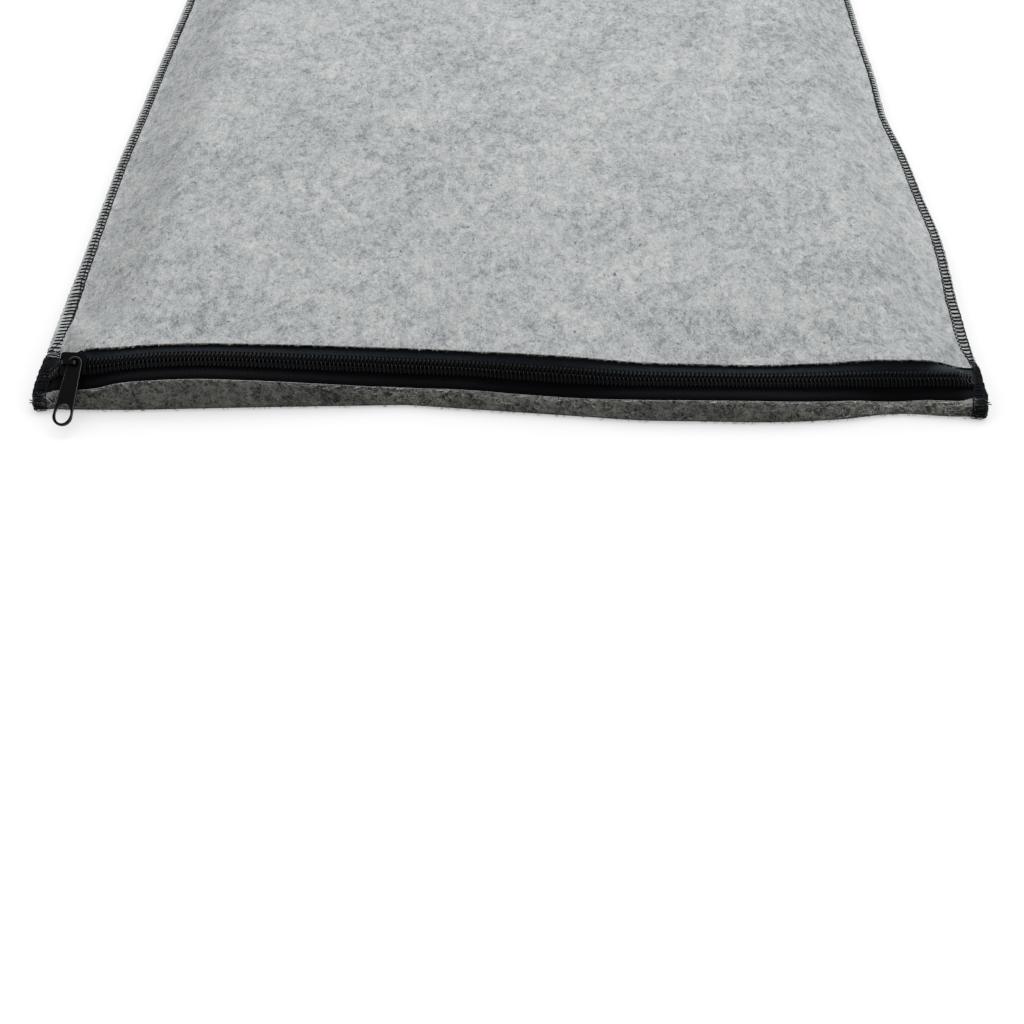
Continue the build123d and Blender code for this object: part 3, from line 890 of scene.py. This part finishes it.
# %% Where the overlock's lines run
stitch_pitch = 2.25
crowded_pitch = 0.95
thread_radius = 0.155
knot_radius = 0.13
lowest_thread = 0.3  # the middle of no thread or fibre comes nearer the table
wander = random.Random(7)
needle_from_edge = {
    -1: [(0, 4.1), (30, 4.5), (55, 4.5), (68, 4.0), (105, 3.5), (200, 3.5), (330, 3.6),
         (370, 4.7), (430, 4.9)],
    1: [(0, 4.6), (6, 4.3), (10, 2.6), (18, 1.7), (26, 2.4), (34, 3.6), (60, 3.5), (100, 3.3),
        (160, 3.1), (200, 2.5), (330, 2.6), (370, 3.1), (430, 3.2)],
}
knots_from_edge = {
    -1: [(0, 1.0), (20, 1.2), (30, 3.6), (55, 4.2), (68, 2.8), (105, 2.2), (175, 2.4), (250, 3.0),
         (330, 3.1), (370, 4.2), (430, 4.4)],
    1: [(0, 0.9), (17, 1.3), (24, 1.1), (34, 0.45), (60, 0.5), (80, 0.9), (165, 0.9),
        (200, 2.0), (430, 2.5)],
}


def stitch(side, s, points):
    """Points on a seam: along it from s, across in from the raw edge, off up from its middle."""
    spots = []
    for along, across, off in points:
        reach, height = on_seam(side, s + along, off)
        spots.append(laid(side * (half_width - across), reach, max(height, lowest_thread)))
    return spots


print("stitches crowd to", crowded_pitch, "mm at the zip's ends")

# %% [markdown]
# One pass of the loop below sews one stitch. The needle thread dips and lies along the seam, the
# upper looper runs from it out to the knots and back, and the lower looper comes from under the
# felt, round the raw edge to the knots and back again. The knots are a fourth run, which draws
# the dark line. A few points to the stitch are enough, since the curve rounds them as thread does.


# %% The three threads of one side
def overlock_runs(side):
    """The runs of the needle thread, the upper looper and the lower looper, and the knots."""
    length = seam_walks[side][-1][0] - 1.5
    needle, upper, lower, knots = [], [], [], []
    s = 0.5
    over = felt + thread_radius
    while s < length:
        crowd = 1 - ease(18.5, 22.0, s)
        pitch = stitch_pitch + (crowded_pitch - stitch_pitch) * crowd
        p = pitch / stitch_pitch
        needle_at = through(needle_from_edge[side], s) + wander.uniform(-0.15, 0.15)
        knot_at = through(knots_from_edge[side], s) + wander.uniform(-0.15, 0.15)
        stray = wander.uniform(-0.25, 0.25) * p
        slant = wander.uniform(-0.2, 0.2) * p
        middle = (needle_at + knot_at) / 2
        needle += stitch(side, s, [
            (0, needle_at, over - 0.3), (0.5 * p, needle_at + 0.06, over + 0.06),
            (1.7 * p, needle_at - 0.04, over + 0.04)])
        upper += stitch(side, s + stray, [
            (0, needle_at + 0.1, over), (slant, middle, over + 0.08),
            (slant, knot_at + 0.1, over + 0.12),
            ((0.5 + wander.uniform(0, 0.6)) * p - stray, knot_at - 0.1, over + 0.2),
            (0.42 * p, knot_at + 0.2, over + 0.14), (0.40 * p, middle, over + 0.1),
            (0.55 * p, needle_at, over + 0.04)])
        stray = wander.uniform(-0.25, 0.25) * p
        edge = -0.15 - wander.uniform(0.0, 0.35)
        lower += stitch(side, s + stray, [
            (0, 2.4, -over), (0.1 * p, 0.2, -over + 0.1), (0.2 * p, edge, -0.5),
            (0.3 * p, edge, 0.9), (0.3 * p, 0.15, over - 0.02), (0.4 * p, knot_at, over + 0.1),
            (1.1 * p, knot_at + 0.15, over + 0.16), (0.8 * p, knot_at - 0.1, over + 0.1),
            (0.75 * p, 0.15, over - 0.02), (0.8 * p, edge, 0.7), (0.95 * p, edge, -0.6),
            (1.2 * p, 0.25, -over + 0.1)])
        knots += stitch(side, s, [
            (0, knot_at - 0.32, over + 0.12), (0.25 * p, knot_at, over + 0.26),
            (0.8 * p, knot_at + 0.32, over + 0.1), (1.5 * p, knot_at - 0.05, over + 0.22)])
        s += pitch
    return needle, upper, lower, knots


# %% [markdown]
# At the mouth the machine's own chain of thread is turned back and sewn in, so the corner is
# wrapped in an uneven bundle that hides the zip's ends. Each turn goes from the needle line over
# the raw edge to the underside and back, with a knob of its own size.


# %% The chained tail
def tail_run(side):
    """The seam's chained tail, wound over the corner where the zip's ends are caught."""
    run = []
    s = 0.3
    over = felt + thread_radius + 0.2
    while s < mouth_on_seam[side] - 1.0:
        needle_at = through(needle_from_edge[side], s) + wander.uniform(-0.35, 0.35)
        knob = wander.uniform(0.0, 0.55)
        out = -0.2 - knob * 0.6
        run += stitch(side, s, [
            (0, needle_at, over - 0.2), (wander.uniform(-0.3, 0.3), needle_at * 0.6, over + 0.15),
            (wander.uniform(-0.3, 0.3), 0.2, over + knob * 0.5), (0.1, -0.3 - knob, 0.8),
            (0.2, out, -0.8), (0.3, 1.4, -over), (0.35, out, -0.3), (0.4, -0.1, over - 0.1)])
        s += wander.uniform(0.42, 0.78)
    return run


# %% [markdown]
# Each side gets its chained tail, its knots and its three threads, which start with their loose
# ends at the front corner. Both sides share one source of chance, so no stray is repeated.


# %% Sewing both sides
loose_ends = {  # of the three threads, in millimetres out, back and up from the front corner
    "left": [[(0.9, -0.6, 3.0), (0.2, -0.1, 3.2), (-1.0, 0.0, 3.4)],
             [(-2.6, -1.4, 0.6), (-2.2, -0.7, 1.2), (-1.6, 0.0, 1.6)],
             [(1.1, 0.4, 3.6), (0.3, 0.4, 3.4), (-0.8, 0.2, 3.0)]],
    "right": [[(1.2, 0.2, 5.0), (0.4, 0.2, 5.2), (-0.8, 0.1, 5.2)],
              [(0.6, 0.4, 5.8), (0.0, 0.2, 5.4), (-1.6, 0.0, 5.0)],
              [(-3.2, -1.0, 0.5), (-2.4, -0.6, 0.9), (-1.6, 0, 1.4)]],
}
three_kinds = ("needle_thread", "upper_looper", "lower_looper")
for word, side in (("left", -1), ("right", 1)):
    thread(f"{word}_overlock_tail", [tail_run(side)], thread_radius)
    *three_runs, knot_run = overlock_runs(side)
    thread(f"{word}_overlock_knots", [knot_run], knot_radius)
    for kind, steps, run in zip(three_kinds, loose_ends[word], three_runs):
        name = f"{word}_overlock_{kind}"
        end = [place(side * (half_width + out), reach, height) for out, reach, height in steps]
        thread(name + "_sewn", [end + run], thread_radius, stands_for=[name])
print("overlock sewn, stitch", stitch_pitch, "mm")

# %% [markdown]
# ## Fuzz
# Loose fibres stand up all over needled felt. In the shade of the front strip they catch the
# light from above and show as pale tangles, so those are made, each a short bent thread of a few
# faces. Hair particles would do it too, but a curve exports as a plain mesh. Real fibres are far
# too fine to show, so these are drawn several times as thick.

# %% Fuzz on the strip
fibre = random.Random(19)
strip_fibres = 3000
strip_fibre_radius = 0.07
strip_runs = []
for k in range(strip_fibres):
    x = fibre.uniform(-145.5, 146.0)
    at = fibre.uniform(0.0, 1.25)
    part, at = ("strip", at) if at <= 1 else ("fold", at - 1)
    reach, height = blank_spot(x, part, at)
    surface = reach - felt_thickness(part, at) / 2
    step = fibre.uniform(1.0, 3.2) / 4
    lean = fibre.uniform(0, 2 * math.pi)
    turn = fibre.uniform(-2.2, 2.2)
    rise = fibre.uniform(0.05, 0.4)
    run = [Vector((bowed(x, reach), surface + 0.08, height))]
    for share in (0.25, 0.5, 0.75, 1.0):
        bend = lean + turn * share
        run.append(Vector((run[-1].x + step * math.cos(bend),
                           surface - rise * math.sin(share * math.pi) + 0.06,
                           run[-1].z + 0.7 * step * math.sin(bend))))
    top = strip_top(x)[1] - 0.2
    strip_runs.append([place(p.x, p.y, min(max(p.z, lowest_thread), top)) for p in run])
thread("strip_fuzz", strip_runs, strip_fibre_radius, fibre_finish, roundness=0)
print("fibres on the strip", len(strip_runs))

# %% [markdown]
# The raw edge over the zip is cut, not folded, so it bristles with cut ends. They lean forward
# over the tape, which breaks the edge's line, and they are finer than those on the strip.

# %% Fuzz along the mouth
mouth_fibres = 1500
mouth_fibre_radius = 0.035
mouth_runs = []
for k in range(mouth_fibres):
    x = fibre.uniform(-141, 143)
    behind = fibre.uniform(-0.1, 0.9)
    reach, height = blank_spot(x, "panel", behind)
    surface = height + felt_thickness("panel", behind) / 2
    length = fibre.uniform(0.5, 1.5)
    bend = fibre.uniform(-1.2, 1.2)
    mouth_runs.append([
        place(bowed(x, reach) + length * share * math.sin(bend),
              reach - length * share * math.cos(bend) * 0.8,
              surface + 0.25 * math.sin(share * 2.2) - 0.35 * share)
        for share in (0.0, 0.35, 0.7, 1.0)])
thread("mouth_fuzz", mouth_runs, mouth_fibre_radius, fibre_finish, roundness=0)
print("fibres along the mouth", len(mouth_runs))

# %% [markdown]
# ## Slider and pull tab
# Both are cast in zinc and enamelled. Their shapes are exact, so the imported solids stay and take
# only the enamel and a small bevel, since enamel has no sharp edges.

# %% Slider and pull tab
for name, finish in (("slider_body", slider_finish), ("pull_tab", pull_finish)):
    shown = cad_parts[name]
    shown.data.materials.clear()
    shown.data.materials.append(finish)
    softened = shown.modifiers.new("softened edges", "BEVEL")
    softened.width = 0.12 * MM
    softened.segments = 2
    softened.limit_method = "ANGLE"
    softened.angle_limit = math.radians(50)
    print(name, "takes", finish.name)

# %% [markdown]
# ## Table
# The sleeve lies on a white table that runs out into white. A surface bright enough for that would
# also light the upright strip, which stands in shade, so the table has two faces: the camera sees
# one that glows white, and the lamps find a dull grey one. Ambient occlusion turns the glow down
# near the sleeve, which stands for the soft shadow where it touches.


# %% Table and backdrop
def seen_by_eye(tree):
    """1 on rays that the camera, a mirror or glass sends out, 0 on the rays of soft light."""
    rays = add(tree, "LightPath").outputs
    mirrored = add(tree, "Math", [(rays["Is Camera Ray"], 0), (rays["Is Glossy Ray"], 1)],
                   operation="MAXIMUM")
    return add(tree, "Math", [(mirrored, 0), (rays["Is Transmission Ray"], 1)],
               operation="MAXIMUM")


table_mesh = bmesh.new()
bmesh.ops.create_grid(table_mesh, x_segments=1, y_segments=1, size=6.0)
table = into_scene("table", to_mesh(table_mesh, "table"))
paint, tree = new_finish("white_table")
lit = add(tree, "BsdfDiffuse", Color=linear("555555"))
tucked = add(tree, "AmbientOcclusion", Distance=30 * MM, samples=8)
contact = add(tree, "MapRange", [(tucked.outputs["AO"], "Value")], To_Min=0.40, To_Max=0.96)
glow = add(tree, "Emission", [(contact, "Strength")], Color=linear("FFFFFF"))
bright = add(tree, "AddShader", [(lit, 0), (glow, 1)])
dull = add(tree, "BsdfDiffuse", Color=linear("7A7A7A"))
pick = add(tree, "MixShader", [(seen_by_eye(tree), 0), (dull, 1), (bright, 2)])
add(tree, "OutputMaterial", [(pick, "Surface")])
table.data.materials.append(paint)
print("table laid,", round(table.dimensions.x), "m wide")

# %% [markdown]
# The world is split in the same way: white to the eye, so that the backdrop has no edge, and dim
# as a light, so that it only fills the shadows a little.

# %% World
world = bpy.data.worlds.new("studio")
bpy.context.scene.world = world
world.use_nodes = True
tree = world.node_tree
tree.nodes.clear()
strength = add(tree, "MapRange", [(seen_by_eye(tree), "Value")], To_Min=0.14, To_Max=1.0)
sky = add(tree, "Background", [(strength, "Strength")], Color=linear("FFFFFF"))
add(tree, "OutputWorld", [(sky, "Surface")])
print("world is", world.name)

# %% [markdown]
# ## Lamps
# One wide soft lamp hangs over and a little behind the sleeve, as a softbox does in a product
# shot: it lights the top evenly and leaves the front in shade. A small one at the right only
# gives the coil and the enamel something to catch.


# %% Lamps
def lamp(name, at, aim, size, watts):
    """A square area lamp at one point that faces another."""
    data = bpy.data.lights.new(name, "AREA")
    data.shape = "SQUARE"
    data.size = size
    data.energy = watts
    made = into_scene(name, data)
    made.location = at
    made.rotation_mode = "QUATERNION"
    made.rotation_quaternion = (Vector(aim) - Vector(at)).to_track_quat("-Z", "Y")
    print(name, "gives", watts, "W")


lamp("softbox", at=(0.15, 0.5, 1.6), aim=(0, 0, 0), size=1.1, watts=35)
lamp("right_strip", at=(1.1, 0.05, 0.45), aim=(0, -0.1, 0), size=0.35, watts=2.0)

# %% [markdown]
# ## Camera
# The camera stands close in front of the mouth and looks down at it, a little off level, as one
# holds it by hand. A fairly long lens keeps the near edge from swelling.

# %% Camera
eye = Vector((0.00563, -0.63503, 0.32561))
pitch, turn, roll = 40.4253, 0.6021, 0.1165
camera_data = bpy.data.cameras.new("camera")
camera_data.lens = 60
camera = into_scene("camera", camera_data)
camera.rotation_mode = "QUATERNION"
camera.location = eye
camera.rotation_quaternion = (
    Matrix.Rotation(math.radians(turn), 3, "Z")
    @ Matrix.Rotation(math.radians(90 - pitch), 3, "X")
    @ Matrix.Rotation(math.radians(roll), 3, "Z")
).to_quaternion()
bpy.context.scene.camera = camera
bpy.context.scene.view_settings.view_transform = "Standard"
print("camera stands", round(eye.length, 2), "m away")

# %% [markdown]
# ## Finish
# Last the view layer is brought up to date.

# %% Finish
bpy.context.view_layer.update()
